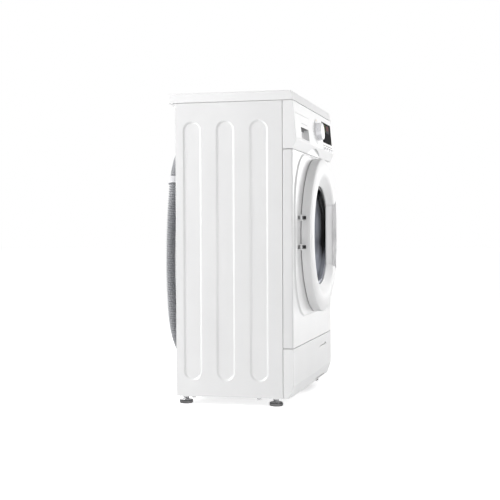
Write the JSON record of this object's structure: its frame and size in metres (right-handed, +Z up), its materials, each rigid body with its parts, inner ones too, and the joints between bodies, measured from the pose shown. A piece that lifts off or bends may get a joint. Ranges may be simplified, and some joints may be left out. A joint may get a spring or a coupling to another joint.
{
  "type": "front-loading washing machine",
  "caption": "Slim free-standing front-loading washing machine with a round glazed door, detergent drawer, program knob, sprung tub with drum, levelling feet and a corrugated drain hose.",
  "frame": {"origin": "centre of the bounding box on the floor under the levelling feet, without the free drain hose", "axes": "+X to the right seen from the front, -Y to the front, +Z up"},
  "size_m": [0.6, 0.4057, 0.85],
  "materials": {
    "white_enamel": "gloss enamel",
    "white_plastic": "semi-gloss",
    "grey_plastic": "satin",
    "hose_grey": "satin",
    "black_plastic": "matte",
    "handle_grey": "satin",
    "black_steel": "matte paint",
    "display_black": "gloss",
    "door_white": "gloss",
    "bowl_glass": "smoked",
    "silver": "metallised",
    "stainless": "brushed",
    "zinc_steel": "zinc plated",
    "foot_black": "matte",
    "grey_rubber": "matte",
    "tub_plastic": "moulded",
    "iron": "as cast",
    "alloy": "as cast"
  },
  "bodies": {
    "cabinet": {"left_side_panel": "white_enamel", "right_side_panel": "white_enamel", "back_panel": "zinc_steel", "rear_access_cover": "zinc_steel", "top_lid": "white_plastic", "base_frame": "grey_plastic", "foot_lock_nuts": "zinc_steel", "front_panel": "white_enamel", "kick_panel": "white_plastic", "drain_pump": "grey_plastic", "console": "white_plastic", "display_window": "display_black", "control_module": "black_plastic", "dial_bezel": "white_plastic", "dispenser_housing": "white_plastic", "inlet_valve": "white_plastic", "fill_hose": "grey_rubber", "cord_gland": "black_plastic", "drain_outlet": "grey_plastic", "inner_drain_hose": "grey_rubber", "drain_hose": "hose_grey", "hose_clips": "white_plastic", "hinge_brackets": "white_enamel", "door_lock": "black_plastic", "damper_cylinders": "black_plastic", "door_gasket": "grey_rubber", "sump_hose": "grey_rubber", "dispenser_hose": "grey_rubber", "suspension_springs": "zinc_steel"},
    "tub": {"tub_front": "tub_plastic", "tub_rear": "tub_plastic", "upper_counterweight": "iron", "lower_counterweight": "iron", "heater": "zinc_steel", "bearings": "zinc_steel", "stator": "alloy", "damper_rods": "zinc_steel"},
    "drum": {"drum_shell": "stainless", "drum_lifters": "tub_plastic", "drum_spider": "alloy", "rotor": "zinc_steel"},
    "door": {"door_ring": "door_white", "door_back_ring": "grey_plastic", "door_glass": "bowl_glass", "handle_cup": "handle_grey", "hinge_arms": "black_steel", "door_hook": "zinc_steel"},
    "knob": {"program_knob": "silver"},
    "start_button": {"start_key": "silver"},
    "temperature_button": {"temperature_key": "silver"},
    "spin_button": {"spin_key": "silver"},
    "option_button": {"option_key": "silver"},
    "drawer": {"drawer_front": "white_plastic", "drawer_tray": "white_plastic"},
    "flap": {"filter_flap": "white_plastic"},
    "filter": {"pump_filter": "grey_plastic"},
    "foot_front_left": {"front_left_foot": "foot_black"},
    "foot_front_right": {"front_right_foot": "foot_black"},
    "foot_rear_left": {"rear_left_foot": "foot_black"},
    "foot_rear_right": {"rear_right_foot": "foot_black"}
  },
  "joints": [
    {"name": "tub_bounce", "type": "slide", "parent": "cabinet", "child": "tub", "axis": [0, 0, 1], "range_m": [-0.006, 0.006], "stiffness_N_per_m": 12000, "springref_m": 0.02043, "deforming": ["suspension_springs", "sump_hose", "dispenser_hose", "door_gasket"]},
    {"name": "drum_spin", "type": "hinge", "parent": "tub", "child": "drum", "pos_m": [0, 0, 0.462], "axis": [0, 1, 0], "continuous": true},
    {"name": "door_swing", "type": "hinge", "parent": "cabinet", "child": "door", "pos_m": [-0.24, -0.17355, 0.47], "axis": [0, 0, -1], "range_deg": [0, 130]},
    {"name": "knob_turn", "type": "hinge", "parent": "cabinet", "child": "knob", "pos_m": [0.03, -0.16923, 0.7668], "axis": [0, -0.9958, 0.0918], "continuous": true},
    {"name": "drawer_slide", "type": "slide", "parent": "cabinet", "child": "drawer", "axis": [0, -1, 0], "range_m": [0, 0.16]},
    {"name": "flap_swing", "type": "hinge", "parent": "cabinet", "child": "flap", "pos_m": [0.1545, -0.15049, 0.037], "axis": [1, 0, 0], "range_deg": [0, 80]},
    {"name": "filter_turn", "type": "hinge", "parent": "cabinet", "child": "filter", "pos_m": [0.152, -0.134, 0.08], "axis": [0, -1, 0], "range_deg": [0, 90]},
    {"name": "start_press", "type": "slide", "parent": "cabinet", "child": "start_button", "axis": [0, 0.9958, -0.0918], "range_m": [0, 0.0012], "stiffness_N_per_m": 900},
    {"name": "temperature_press", "type": "slide", "parent": "cabinet", "child": "temperature_button", "axis": [0, 0.9958, -0.0918], "range_m": [0, 0.0012], "stiffness_N_per_m": 900},
    {"name": "spin_press", "type": "slide", "parent": "cabinet", "child": "spin_button", "axis": [0, 0.9958, -0.0918], "range_m": [0, 0.0012], "stiffness_N_per_m": 900},
    {"name": "option_press", "type": "slide", "parent": "cabinet", "child": "option_button", "axis": [0, 0.9958, -0.0918], "range_m": [0, 0.0012], "stiffness_N_per_m": 900},
    {"name": "front_left_level", "type": "slide", "parent": "cabinet", "child": "foot_front_left", "axis": [0, 0, -1], "range_m": [0, 0.012]},
    {"name": "front_right_level", "type": "slide", "parent": "cabinet", "child": "foot_front_right", "axis": [0, 0, -1], "range_m": [0, 0.012]},
    {"name": "rear_left_level", "type": "slide", "parent": "cabinet", "child": "foot_rear_left", "axis": [0, 0, -1], "range_m": [0, 0.012]},
    {"name": "rear_right_level", "type": "slide", "parent": "cabinet", "child": "foot_rear_right", "axis": [0, 0, -1], "range_m": [0, 0.012]}
  ]
}
